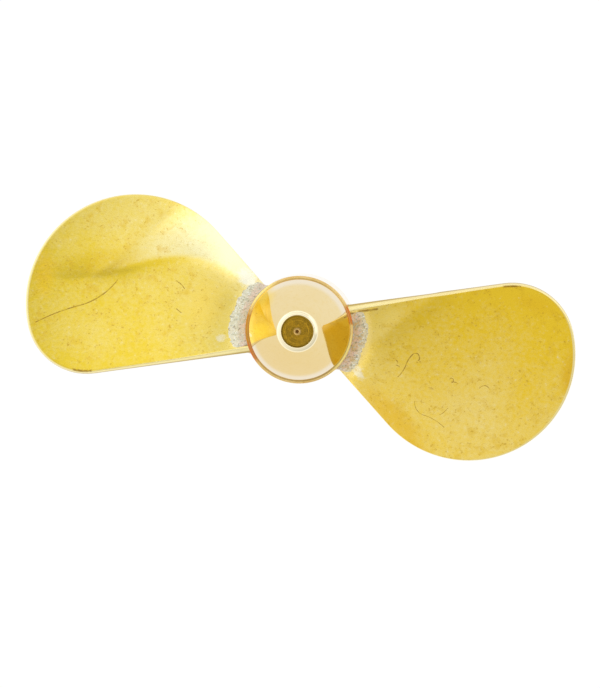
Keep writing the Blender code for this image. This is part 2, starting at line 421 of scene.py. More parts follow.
def blade_depth():
    """For each point of a blade, how deep it lies in the sheet: 0 on the aft face, 1 on the forward
    face."""
    face = np.zeros(BLADE_RINGS - 1)
    rows = np.concatenate([face, 0.5 - edge_profile()[1] / SHEET, face + 1])
    return np.repeat(rows[:, None], BLADE_COLUMNS, axis=1)


def step_up(value, width):
    """A soft step from 0 to 1 as the value grows past zero."""
    return 1 / (1 + np.exp(-4 * value / width))


def past(value, place, width):
    """A soft step from 0 to 1 as the value grows past a place."""
    return step_up(value - place, width)


def short_of(value, place, width):
    """A soft step from 1 to 0 as the value grows past a place."""
    return step_up(place - value, width)


def blade_painted_light(rows, creases):
    """For each point of a blade, 1 where a highlight is painted between its first two creases, and below
    0 where shade is painted along the foot of the first. A blade with one crease has neither."""
    if len(creases) < 2:
        return np.zeros(rows.shape[:2])
    x, y = rows[..., 0], rows[..., 1]
    aside = beside(x, y, creases[0][0])
    beyond = beside(x, y, creases[1][0])
    between = short_of(aside, *HIGHLIGHT_BESIDE_FIRST) * past(beyond, *HIGHLIGHT_BESIDE_SECOND)
    weaker = HIGHLIGHT_WEAK_SHARE + (1 - HIGHLIGHT_WEAK_SHARE) * short_of(x, *HIGHLIGHT_WEAKENS)
    fade = weaker * short_of(x, *HIGHLIGHT_ENDS)
    foot_shade = past(aside, *FOOT_BESIDE) * np.exp(-np.clip(aside, 0.0, None) / FOOT_REACH)
    return between * fade - FOOT_SHADE_STRENGTH * foot_shade * past(x, *FOOT_STARTS) * short_of(x, *FOOT_ENDS)


def value_noise(points, size, seed):
    """Smooth lattice noise from -1 to 1, whose lumps are about the given size."""
    cell = np.floor(points / size)
    part = points / size - cell
    part = part * part * (3 - 2 * part)
    total = 0.0
    for corner in itertools.product((0, 1), repeat=3):
        key = (cell + corner) @ NOISE_STEPS + NOISE_SEED_STEP * seed
        value = np.sin(key) * NOISE_SCATTER % 1.0
        total = total + value * np.prod(np.where(corner, part, 1 - part), axis=-1)
    return 2 * total - 1


def solder_rows(side, seed, reach, span):
    """Rows of the lumpy fillet along a blade's root, on its aft (1) or forward (-1) side.

    Each row is a section loop: from the toe on the blade up a hollow curve to the hub's wall, then
    back inside the hub and the blade. The rows run along the root and shrink at both ends. The lumps
    push the hollow curve out, between the directions away from the sheet and away from the shaft.
    """
    along = np.linspace(0.0, 1.0, SOLDER_ROWS)[:, None]
    angle = np.radians(span[0] + (span[1] - span[0]) * along)
    full = np.sqrt(np.clip(1 - np.abs(2 * along - 1) ** SOLDER_END_POWER, 0.0, 1.0))
    t = np.linspace(0.0, 1.0, SOLDER_FACE)[None]
    wall = np.stack([WALL_RADIUS * angle, 0 * angle, 0 * angle], axis=-1)
    wander = value_noise(wall, WANDER_SIZE, seed)
    ragged = value_noise(wall, RAGGED_SIZE, seed + 5)
    width = np.polyval(np.polyfit([0.0, 0.5, 1.0], reach, 2), along)
    wide = (width + TOE_WANDER * wander + TOE_RAGGED * ragged) * full
    tall = SOLDER_RISE * (1 + RISE_WANDER * wander) * full
    back = -SOLDER_BACK + 0 * wide
    hollow_out = wide * (1 - t) ** SOLDER_HOLLOW
    hollow_up = tall * t**SOLDER_HOLLOW - TOE_SUNK * (1 - t)
    out = np.concatenate([hollow_out, back, back, wide - BEHIND_TOE * full], axis=1)
    up = np.concatenate([hollow_up, tall - BELOW_TOP, back, back], axis=1)
    out[[0, -1]] = 0.0
    up[[0, -1]] = 0.0
    radius = HUB_RADIUS + out
    x, y = radius * np.cos(angle), radius * np.sin(angle)
    points = sheet_point(x, y, side * (SHEET / 2 + up))
    lumps = sum(height * value_noise(points, size, seed + size) for size, height in SOLDER_LUMPS)
    ramp = np.zeros(lumps.shape)
    ramp[:, :SOLDER_FACE] = np.sin(math.pi * np.clip(t * LUMPS_END, 0.0, 1.0)) * full
    from_shaft = np.stack([np.cos(angle), np.sin(angle), 0 * angle], axis=-1)
    away = sheet_normal(x, y, ()) * side + from_shaft
    away /= np.linalg.norm(away, axis=-1, keepdims=True)
    return (points + away * (lumps * ramp)[..., None])[:, ::side]


def turned(rows, heading):
    """The rows, turned about the shaft."""
    turn = math.radians(heading)
    cos, sin = math.cos(turn), math.sin(turn)
    return rows @ np.array([[cos, sin, 0], [-sin, cos, 0], [0, 0, 1]])


def closed_skin(name, rows, material, **fields):
    """Object over rows that run from pole to pole, each a closed loop. The end rows shrink to one point.

    Each field has a value for every point of every row and is stored on the mesh.
    """
    count = rows.shape[1]
    points = np.vstack([rows[0, :1], rows[1:-1].reshape(-1, 3), rows[-1, :1]]) * MM
    ring = np.arange(count)
    after = np.roll(ring, -1)
    start = 1 + count * np.arange(len(rows) - 2)[:, None]
    here, beyond = start[:-1], start[1:]
    quads = np.stack([here + ring, beyond + ring, beyond + after, here + after], axis=-1)
    last = start[-1, 0]
    first_fan = np.column_stack([np.zeros_like(ring), 1 + ring, 1 + after])
    last_fan = np.column_stack([np.full_like(ring, len(points) - 1), last + after, last + ring])
    faces = quads.reshape(-1, 4).tolist() + first_fan.tolist() + last_fan.tolist()
    mesh = bpy.data.meshes.new(name)
    mesh.from_pydata(points.tolist(), [], faces)
    mesh.shade_smooth()
    mesh.materials.append(material)
    for field, values in fields.items():
        flat = np.concatenate([values[0, :1], values[1:-1].ravel(), values[-1, :1]])
        mesh.attributes.new(field, "FLOAT", "POINT").data.foreach_set("value", flat)
    piece = bpy.data.objects.new(name, mesh)
    bpy.context.scene.collection.objects.link(piece)
    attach(piece, "root")
    return piece


def soften(knots, cut, steps=5):
    """The polyline with each inner corner replaced by a small curve that starts and ends a cut away,
    or just short of the middle of a side that is too short for that."""
    knots = np.array(knots, float)
    t = np.linspace(0.0, 1.0, steps)[:, None]
    parts = [knots[:1]]
    for before, corner, after in zip(knots, knots[1:], knots[2:]):
        back = before - corner
        ahead = after - corner
        near = corner + back * min(0.45, cut / np.linalg.norm(back))
        far = corner + ahead * min(0.45, cut / np.linalg.norm(ahead))
        parts.append((1 - t) ** 2 * near + 2 * t * (1 - t) * corner + t**2 * far)
    return np.vstack(parts + [knots[-1:]])


def densify(profile, spacing):
    """The polyline with extra points, so that no step is longer than the spacing."""
    parts = []
    for start, end in zip(profile, profile[1:]):
        count = max(1, math.ceil(np.hypot(*(end - start)) / spacing))
        parts.append(start + (end - start) * np.arange(count)[:, None] / count)
    return np.vstack(parts + [profile[-1:]])


def slope_arc(start, start_slope, end_radius, end_slope, count):
    """Profile arc from a point to a radius, given at both ends the angle between its normal and the
    shaft."""
    first = math.sin(math.radians(start_slope))
    last = math.sin(math.radians(end_slope))
    arc_radius = (start[0] - end_radius) / (first - last)
    centre_radius = start[0] - arc_radius * first
    centre_height = start[1] - arc_radius * math.cos(math.radians(start_slope))
    turn = np.radians(np.linspace(start_slope, end_slope, count))
    return np.column_stack([
        centre_radius + arc_radius * np.sin(turn),
        centre_height + arc_radius * np.cos(turn),
    ])


def nose_profile():
    """Long ogive from the shoulder up, then the rounding round the parted-off end."""
    base = (NOSE_BASE_RADIUS, SHOULDER_Z)
    ogive = slope_arc(base, NOSE_BASE_SLOPE, NOSE_RING_RADIUS, NOSE_TOP_SLOPE, NOSE_POINTS)
    end = slope_arc(ogive[-1], NOSE_TOP_SLOPE, NOSE_FLAT_RADIUS, 0.0, NOSE_ROUND_POINTS)
    return np.vstack([ogive, end[1:]])


def nose_end_profile():
    """The parted-off end: a groove at its edge, low turning rings and a pit in its middle."""
    radius = np.linspace(NOSE_FLAT_RADIUS, 0.0, NOSE_END_POINTS)
    groove = END_GROOVE_DEPTH * (1 - np.exp((radius - NOSE_FLAT_RADIUS) / END_GROOVE_WIDTH))
    rise = 0.0
    for middle, height, width in END_RINGS:
        rise = rise + height * np.exp(-(((radius - middle) / width) ** 2))
    return np.column_stack([radius, HUB_LENGTH - groove + rise])[1:]


def hub_rows():
    """Rows of the hub's skin: its profile, from the drill point round to the nose end, spun about the
    shaft.

    Along the bore the radius grows and shrinks with the height less the turn, which cuts the thread.
    """
    point_depth = BORE_RADIUS / math.tan(math.radians(DRILL_POINT / 2))
    lower = soften([
        (0.0, BORE_DEPTH + point_depth),
        (BORE_RADIUS, BORE_DEPTH),
        (BORE_RADIUS, BORE_CHAMFER),
        (BORE_RADIUS + BORE_CHAMFER, 0.0),
        (HUB_RADIUS - FACE_CHAMFER, 0.0),
        (HUB_RADIUS, FACE_CHAMFER),
        (HUB_RADIUS, SHOULDER_Z - SHOULDER_ROUND),
    ], CORNER_CUT)
    middle = (HUB_RADIUS - SHOULDER_ROUND, SHOULDER_Z - SHOULDER_ROUND)
    rounding = arc(middle, SHOULDER_ROUND, 0.0, 90.0, SHOULDER_POINTS)
    body = densify(np.vstack([lower, rounding[1:]]), PROFILE_STEP)
    profile = np.vstack([body, nose_profile(), nose_end_profile()])
    radius = profile[:, 0, None]
    height = profile[:, 1, None]
    turn = -2 * math.pi * np.arange(HUB_COLUMNS) / HUB_COLUMNS
    phase = (height / THREAD_PITCH - turn / (2 * math.pi)) % 1.0
    groove = np.clip(THREAD_TOP - THREAD_SLOPE * np.abs(phase - 0.5), 0.0, 1.0)
    run_out = np.clip((THREAD_LENGTH - height) / THREAD_RUN_OUT, 0.0, 1.0)
    run_in = np.clip((height - BORE_CHAMFER) / THREAD_RUN_IN, 0.0, 1.0)
    length = run_out * run_in
    wide = radius + THREAD_DEPTH * groove * length * (radius < BORE_RADIUS + WALL_SLACK)
    level = np.broadcast_to(height, wide.shape)
    return np.stack([wide * np.cos(turn), wide * np.sin(turn), level], axis=-1)


class Field:
    """A shader socket that can be used in Python sums."""

    def __init__(self, paint, socket):
        self.paint = paint
        self.socket = socket

    def maths(self, operation, *values):
        return self.paint.maths(operation, *values)

    def __add__(self, other):
        return self.maths("ADD", self, other)

    __radd__ = __add__

    def __sub__(self, other):
        return self.maths("SUBTRACT", self, other)

    def __rsub__(self, other):
        return self.maths("SUBTRACT", other, self)

    def __mul__(self, other):
        return self.maths("MULTIPLY", self, other)

    __rmul__ = __mul__

    def __truediv__(self, other):
        return self.maths("DIVIDE", self, other)

    def __pow__(self, other):
        return self.maths("POWER", self, other)


class Paint:
    """Adds nodes to the tree of a material or of the world."""

    def __init__(self, tree):
        self.tree = tree

    def node(self, kind, settings=None, inputs=(), output=0):
        """A new node: its settings first, then the values or links of its sockets."""
        made = self.tree.nodes.new(kind)
        for key, value in (settings or {}).items():
            setattr(made, key, value)
        pairs = inputs.items() if isinstance(inputs, dict) else enumerate(inputs)
        for key, value in pairs:
            if isinstance(value, Field):
                self.tree.links.new(value.socket, made.inputs[key])
            else:
                made.inputs[key].default_value = value
        return Field(self, made.outputs[output])

    def maths(self, operation, *values):
        """One operation of the Math node."""
        return self.node("ShaderNodeMath", {"operation": operation}, values)

    def larger(self, first, second):
        """The larger of two values."""
        return self.maths("MAXIMUM", first, second)

    def length(self, x, y):
        """How far a plan point lies from the origin."""
        return (x * x + y * y) ** 0.5

    def place(self):
        """The point being shaded, in millimetres."""
        point = self.node("ShaderNodeTexCoord", output="Object")
        return self.node("ShaderNodeVectorMath", {"operation": "SCALE"}, {0: point, "Scale": 1 / MM})

    def axes(self, point, count=3):
        """The point's shares along the first axes."""
        return [self.node("ShaderNodeSeparateXYZ", None, [point], axis) for axis in range(count)]

    def attribute(self, name):
        """A field that is stored on the mesh."""
        return self.node("ShaderNodeAttribute", {"attribute_name": name}, output="Fac")

    def noise(self, point, size, detail, roughness):
        """Cloudy noise from 0 to 1, whose patches are about the given size across."""
        inputs = {"Vector": point, "Scale": 1 / size, "Detail": detail, "Roughness": roughness}
        return self.node("ShaderNodeTexNoise", None, inputs)

    def between(self, value, low, high):
        """0 below low, 1 above high, and a smooth rise from one to the other."""
        settings = {"interpolation_type": "SMOOTHSTEP"}
        return self.node("ShaderNodeMapRange", settings, [value, low, high, 0.0, 1.0])

    def window(self, value, low, high, soft):
        """1 between low and high, with soft borders."""
        rise = self.between(value, low - soft, low + soft)
        return rise * self.between(value, high + soft, high - soft)

    def left(self, x, width):
        """1 on the left of the shaft, 0 on its right, and a smooth change within a width of it."""
        return self.between(x, width, -width)

    def blob(self, x, y, middle, heading, size):
        """1 in the middle of a soft ellipse, fading to 0 at its rim."""
        turn = math.radians(heading)
        along = ((x - middle[0]) * math.cos(turn) + (y - middle[1]) * math.sin(turn)) / size[0]
        across = ((y - middle[1]) * math.cos(turn) - (x - middle[0]) * math.sin(turn)) / size[1]
        return self.between(self.length(along, across), 1.0, 0.2)

    def patches(self, x, y, ellipses):
        """The largest of several soft ellipses, each times its share."""
        shares = [self.blob(x, y, *ellipse) * share for *ellipse, share in ellipses]
        return functools.reduce(self.larger, shares)

    def wedge(self, x, y, corner, sides, soft):
        """1 inside a wedge, given by its corner and the unit normals that point in from its sides."""
        share = 1.0
        for side in sides:
            inwards = (x - corner[0]) * side[0] + (y - corner[1]) * side[1]
            share = share * self.between(inwards, 0.0, soft)
        return share

    def scratch(self, x, y, start, end, bulge, width):
        """1 along a thin line from start to end that bulges to its left."""
        run = (end[0] - start[0], end[1] - start[1])
        long = math.hypot(*run)
        ahead = ((x - start[0]) * (run[0] / long) + (y - start[1]) * (run[1] / long)) / long
        aside = (y - start[1]) * (run[0] / long) - (x - start[0]) * (run[1] / long)
        bow = ahead * (1 - ahead) * (4 * bulge)
        line = self.between(self.maths("ABSOLUTE", aside - bow), width, 0.3 * width)
        off_middle = self.maths("ABSOLUTE", ahead - 0.5)
        return line * self.between(off_middle, 0.5 + 0.5 * width / long, 0.5 - 0.5 * width / long)

    def mix(self, share, first, second):
        """From the first colour to the second."""
        inputs = {0: share, 6: self.colour(first), 7: self.colour(second)}
        return self.node("ShaderNodeMix", {"data_type": "RGBA"}, inputs, 2)

    def bump(self, height):
        """Normal of a surface raised by a height in millimetres."""
        return self.node("ShaderNodeBump", None, {"Strength": 1.0, "Distance": MM, "Height": height})

    def feed(self, shader, name, field):
        """Links a field to a socket of a shader."""
        self.tree.links.new(field.socket, shader.inputs[name])

    @staticmethod
    def colour(value):
        return value if isinstance(value, Field) else (*value, 1.0)


def new_material(name):
    """A material, the paint for its tree and its shader."""
    material = bpy.data.materials.new(name)
    material.use_nodes = True
    paint = Paint(material.node_tree)
    return material, paint, material.node_tree.nodes["Principled BSDF"]


# Colours of the blades.
# The left blade's brass is greener and paler than the right's: a painted highlight for its brighter
# light.
LEFT_LIT_BRASS = (0.82, 0.61, 0.05)
RIGHT_BRASS = (0.88, 0.60, 0.035)
PALE_BRASS = (0.95, 0.88, 0.50)
LEFT_AMBER = (0.93, 0.60, 0.03)
RIGHT_AMBER = (0.80, 0.48, 0.02)
# Painted shade on the blades.
SHADE_BRASS = (0.63, 0.42, 0.03)
# Painted light on the blades.
LIT_BRASS = (0.99, 0.74, 0.14)
FLUX_HAZE = (0.80, 0.70, 0.42)
FLUX_WHITE = (0.90, 0.88, 0.72)
STAIN_BROWN = (0.74, 0.47, 0.03)
SPECK_BROWN = (0.55, 0.33, 0.03)
# A painted highlight on the rounded rim, and painted shade on its forward part.
RIM_HIGHLIGHT = (0.94, 0.84, 0.46)
SHADED_EDGE = (0.48, 0.33, 0.08)
# Brown of the scratches and of the painted shade lines.
SCRATCH_AND_SHADE_BROWN = (0.38, 0.22, 0.03)

# Soft ellipses on the blades: middle, heading, half sizes and share.
# A painted highlight on the left blade.
HIGHLIGHT_PATCHES = [((-10.2, 7.6), 141.0, (8.7, 4.4), 0.3)]
# Paler patches: painted highlights.
PALE_HIGHLIGHT_PATCHES = [
    ((21.0, -5.0), 60.0, (9.0, 6.0), 0.12),
    ((9.8, 2.0), 50.0, (3.8, 1.4), 0.15),
    ((-25.0, -5.0), 10.0, (6.0, 4.0), 0.1),
]
# Painted shade on the blades, where they are darker.
SHADE_PATCHES = [
    ((-24.0, 3.9), 15.4, (7.2, 2.8), 0.6),
    ((12.9, 2.7), 45.0, (7.0, 1.7), 0.25),
]
# Painted light: brighter, warmer patches where the blades should catch more light.
LIGHT_PATCHES = [
    ((-11.2, 1.4), 75.0, (5.0, 4.0), 0.55),
    ((9.6, 2.5), 50.0, (3.8, 1.8), 0.55),
]
FLUX_SPOTS = [
    ((-9.0, -2.5), 20.0, (1.1, 0.8), 0.5),
    ((-7.2, 4.8), 130.0, (2.3, 1.5), 0.85),
    ((7.3, -4.1), 130.0, (1.7, 0.9), 0.6),
]
AMBER_PATCHES = [
    ((-30.8, 2.0), 100.0, (4.0, 1.8), 0.5),
    ((12.4, -8.9), 143.0, (7.5, 2.2), 0.5),
    ((32.1, -0.4), 90.0, (4.5, 1.6), 0.6),
    ((15.6, -11.8), 150.0, (2.0, 0.7), 0.5),
    ((27.0, 7.0), 170.0, (3.5, 1.4), 0.4),
]

# Places on the blades: how near the shaft their two sides blend, radii between which the paleness of
# the root and the flux haze fade out, and where painted shade makes the left blade's tip less pale,
# outwards and up.
SIDES_BLEND = 4.0
ROOT_PALE = (8.0, 20.0)
HAZE_ENDS = (8.7, 7.6)
TIP_OUTWARDS = (-21.0, -28.0)
TIP_UPWARDS = (-4.0, 1.0)

# Scratches, and last the three wider lines of painted shade along the trailing edges: start, end,
# bulge to the left and width.
SCRATCHES_AND_SHADE_LINES = [
    ((-30.9, -4.0), (-26.3, -1.35), 0.15, 0.1),
    ((-26.3, -1.35), (-22.1, 2.4), -0.5, 0.09),
    ((-15.4, 3.3), (-14.2, 2.5), 0.1, 0.08),
    ((-14.8, 0.1), (-14.1, -0.3), 0.0, 0.07),
    ((12.1, -4.0), (12.9, -2.3), -0.12, 0.08),
    ((12.9, -2.3), (13.6, -0.9), 0.1, 0.1),
    ((13.6, -0.9), (14.3, -1.2), 0.2, 0.1),
    ((14.3, -1.2), (14.2, -1.7), 0.1, 0.11),
    ((11.5, -2.0), (11.9, -2.4), 0.15, 0.07),
    ((11.7, -2.6), (12.2, -2.8), 0.05, 0.07),
    ((18.2, -3.3), (18.6, -3.2), 0.1, 0.08),
    ((18.6, -3.2), (18.5, -3.7), 0.1, 0.08),
    ((18.4, -3.6), (19.3, -3.7), 0.1, 0.08),
    ((21.8, -3.8), (23.1, -3.9), 0.45, 0.08),
    ((14.5, -6.5), (15.6, -8.0), -0.3, 0.05),
    ((15.6, -8.0), (18.4, -9.1), 0.2, 0.05),
    ((17.6, -7.7), (18.5, -6.7), -0.1, 0.035),
    ((6.4, 3.1), (8.7, 3.75), 0.0, 0.2),
    ((22.8, 8.5), (24.9, 8.82), 0.05, 0.2),
    ((-25.6, -8.7), (-23.4, -8.5), -0.1, 0.2),
]


def blade_brass():
    """Hand-polished sheet brass: cloudy, specked and scratched, with painted highlights in paler patches
    and between its creases, painted shade in darker patches and along a crease, and a painted highlight
    on its rim that turns to painted shade towards the forward face."""
    material, paint, shader = new_material("blade_brass")
    place = paint.place()
    x, y = paint.axes(place, 2)
    radius = paint.length(x, y)
    left = paint.left(x, SIDES_BLEND)
    # The painted highlight between the creases, and below 0 the painted shade along a crease's foot.
    painted_light = paint.attribute("painted_light")
    edge = paint.attribute("edge")
    depth = paint.attribute("depth")
    cloud = paint.noise(place, 5.0, 4.0, 0.6)
    stain = paint.noise(place, 1.3, 3.0, 0.6)
    fine = paint.noise(place, 0.45, 3.0, 0.65)
    grit = paint.noise(place, 0.28, 2.0, 0.5)

    # The sheet's colour, with painted highlights in paler patches and painted shade in darker ones.
    # A painted highlight makes the brass paler here; stains and specks are kept off it.
    highlight = paint.patches(x, y, HIGHLIGHT_PATCHES)
    # Painted highlights in paler patches.
    pale_highlight = paint.patches(x, y, PALE_HIGHLIGHT_PATCHES)
    # Painted shade: the shaded patches and the foot of the first crease.
    painted_shade = paint.larger(paint.patches(x, y, SHADE_PATCHES), painted_light * -1.0)
    root = 1.0 - paint.between(radius, *ROOT_PALE)
    # Painted shade: the left blade's tip is made less pale, outwards and up.
    outer = paint.between(x, *TIP_OUTWARDS)
    upper = paint.between(y, *TIP_UPWARDS)
    # The left blade's paler, greener brass and its extra share of pale are a painted highlight.
    pale = 0.08 + 0.055 * left - 0.1 * outer * upper + highlight + pale_highlight + 0.13 * root - 0.0006 * x * y
    pale = pale + 0.3 * (cloud - 0.5) + 0.55 * (fine - 0.5)
    pale = pale + 0.55 * painted_light - 0.15 * painted_shade
    shade = paint.mix(pale, paint.mix(left, RIGHT_BRASS, LEFT_LIT_BRASS), PALE_BRASS)
    amber = paint.mix(left, RIGHT_AMBER, LEFT_AMBER)
    cloudy = 0.7 + 0.6 * paint.between(cloud, 0.4, 0.6)
    for *ellipse, share in AMBER_PATCHES:
        shade = paint.mix(paint.blob(x, y, *ellipse) * cloudy * share, shade, amber)
    # Painted shade darkens the brass there.
    shade = paint.mix(painted_shade * 0.5, shade, SHADE_BRASS)
    # Painted light brightens the brass in patches.
    shade = paint.mix(paint.patches(x, y, LIGHT_PATCHES), shade, LIT_BRASS)

    # What the soldering left behind, and dirt.
    haze = paint.between(radius + 1.6 * (fine - 0.5) + 1.2 * (cloud - 0.5), *HAZE_ENDS)
    shade = paint.mix(haze * 0.35, shade, FLUX_HAZE)
    for *ellipse, share in FLUX_SPOTS:
        spot = paint.between(paint.blob(x, y, *ellipse) + 1.6 * (fine - 0.5), 0.2, 1.0)
        shade = paint.mix(spot * share, shade, FLUX_WHITE)
    dirty = paint.between(stain, 0.52, 0.72) * (1.0 - 3.0 * highlight)
    shade = paint.mix(dirty * 0.4, shade, STAIN_BROWN)
    speck = paint.between(grit, 0.58, 0.7) * paint.between(stain, 0.38, 0.62) * (1.0 - 2.5 * highlight)
    shade = paint.mix(speck * 0.6, shade, SPECK_BROWN)

    # The rim, with a painted highlight turning to painted shade towards the forward face, and the
    # scratches and lines of painted shade, which are on the aft face.
    rim_highlight = paint.between(edge, 0.1, 0.6)
    cut = paint.between(edge, 0.8, 0.98)
    # Painted highlight on the rim, turning to painted shade towards the forward face.
    shade = paint.mix(rim_highlight * 0.75, shade, RIM_HIGHLIGHT)
    shade = paint.mix(rim_highlight * paint.between(depth, 0.45, 0.75) * 0.85, shade, SHADED_EDGE)
    # Scratches, and painted shade in the wider lines along the trailing edges.
    scratch_and_shade = functools.reduce(paint.larger, [paint.scratch(x, y, *line) for line in SCRATCHES_AND_SHADE_LINES])
    scratch_and_shade = scratch_and_shade * paint.between(depth, 0.6, 0.4)
    shade = paint.mix(scratch_and_shade * (0.45 + 0.5 * paint.between(fine, 0.35, 0.6)), shade, SCRATCH_AND_SHADE_BROWN)

    paint.feed(shader, "Base Color", shade)
    paint.feed(shader, "Roughness", 0.13 + 0.08 * cloud + 0.15 * haze + 0.15 * cut)
    paint.feed(shader, "Normal", paint.bump(0.008 * fine - 0.02 * scratch_and_shade))
    shader.inputs["Metallic"].default_value = 1.0
    return material


# Colours of the hub's turned sides and nose.
HUB_BRASS = (0.82, 0.65, 0.32)
HUB_PALE_BRASS = (0.85, 0.70, 0.40)
HUB_FLECK = (0.80, 0.60, 0.24)
# Painted shade on the nose's side towards -y.
NOSE_LOWER_SHADE = (0.78, 0.55, 0.18)
# Painted reflections of the blades on the nose.
NOSE_BLADE_REFLECTION = (0.92, 0.65, 0.06)
NOSE_BRIGHT_REFLECTION = (0.97, 0.84, 0.30)
# A paler painted reflection of the floor round the nose's base.
NOSE_BASE_REFLECTION = (0.86, 0.78, 0.64)
NOSE_TOP_PALE = (0.97, 0.87, 0.60)
# Painted shade in the corner at the rim's foot.
RIM_FOOT_SHADE = (0.42, 0.30, 0.08)

# Where reflections of the blades are painted on the nose: ellipses on its left, as on the blades, and
# the corner and inward normals of a wedge on its right, with its softness.
NOSE_REFLECTION_LEFT = [((-4.8, 2.7), 64.0, (2.7, 1.6), 1.0)]
NOSE_REFLECTION_RIGHT = ((2.53, 0.56), [(0.612, -0.791), (0.905, 0.425)], 0.6)
# A brighter painted reflection of a blade, on the nose's left.
NOSE_BRIGHT_REFLECTION_PATCHES = [((-4.2, -0.6), 20.0, (2.0, 1.4), 1.0)]
# Radii of the nose's pale top, and of the painted shade line in the corner at the rim's foot with its
# softness.
NOSE_TOP_ENDS = (2.5, 2.35)
RIM_FOOT_SHADE_LINE = (5.96, 6.06, 0.03)

# Colours of the parted-off end, with painted shade at its edge and in its pit and a painted highlight
# round the pit, and the radii between which its parts fade in or out.
END_GOLD = (0.76, 0.43, 0.03)
END_DARK_GOLD = (0.56, 0.33, 0.03)
END_EDGE_SHADE = (0.30, 0.18, 0.015)
END_HALO_HIGHLIGHT = (0.97, 0.64, 0.26)
END_PIT_SHADE = (0.12, 0.05, 0.01)
END_BORDER = (1.92, 1.88)
END_SHADE_STARTS = (1.62, 1.78)
END_HIGHLIGHT_STARTS = (0.16, 0.24)
END_HIGHLIGHT_STOPS = (0.5, 0.36)
PIT_SHADE_STOPS = (0.24, 0.14)

# Colours of the rim that the soldering heat tinted, and the patches of its three tints.
RIM_BRASS = (0.80, 0.58, 0.24)
RIM_DARK_BRASS = (0.72, 0.47, 0.15)
RIM_GOLD = (0.95, 0.76, 0.26)
RIM_BROWN = (0.56, 0.25, 0.04)
RIM_RED = (0.62, 0.18, 0.05)
RIM_GOLD_PATCHES = [
    ((-5.1, 3.6), 55.0, (2.8, 2.0), 1.0),
    ((5.9, -2.2), 70.0, (4.0, 2.0), 1.0),
]
RIM_BROWN_PATCHES = [
    ((-5.9, -1.5), 104.0, (4.2, 2.0), 1.0),
    ((5.7, 2.7), 115.0, (1.8, 1.0), 1.0),
]
RIM_RED_PATCHES = [
    ((-5.2, -3.5), 125.0, (2.0, 1.2), 1.0),
    ((5.7, 2.7), 115.0, (1.7, 1.0), 1.0),
]


def parted_end(paint, radius, fine):
    """Colour of the parted-off end: streaky gold, with painted shade at its edge and in its pit, and a
    painted highlight round the pit.
    """
    shade = paint.mix(paint.between(fine, 0.35, 0.65), END_DARK_GOLD, END_GOLD)
    # Painted shade at the end's edge.
    shade = paint.mix(paint.between(radius, *END_SHADE_STARTS), shade, END_EDGE_SHADE)
    # A painted highlight round the pit.
    halo_highlight = paint.between(radius, *END_HIGHLIGHT_STARTS) * paint.between(radius, *END_HIGHLIGHT_STOPS)
    shade = paint.mix(halo_highlight * 0.65, shade, END_HALO_HIGHLIGHT)
    # Painted shade in the pit.
    return paint.mix(paint.between(radius, *PIT_SHADE_STOPS), shade, END_PIT_SHADE)


def tinted_rim(paint, x, y, cloud, fine):
    """Colour of the rim: cloudy brass with patches of gold, brown and red."""
    brown = paint.patches(x, y, RIM_BROWN_PATCHES)
    red = paint.patches(x, y, RIM_RED_PATCHES)
    shade = paint.mix(paint.between(cloud, 0.35, 0.65), RIM_BRASS, RIM_DARK_BRASS)
    shade = paint.mix(paint.patches(x, y, RIM_GOLD_PATCHES), shade, RIM_GOLD)
    shade = paint.mix(paint.between(brown + 0.8 * (fine - 0.5), 0.1, 0.6), shade, RIM_BROWN)
    return paint.mix(paint.between(red + 0.5 * (fine - 0.5), 0.1, 0.8) * 0.8, shade, RIM_RED)


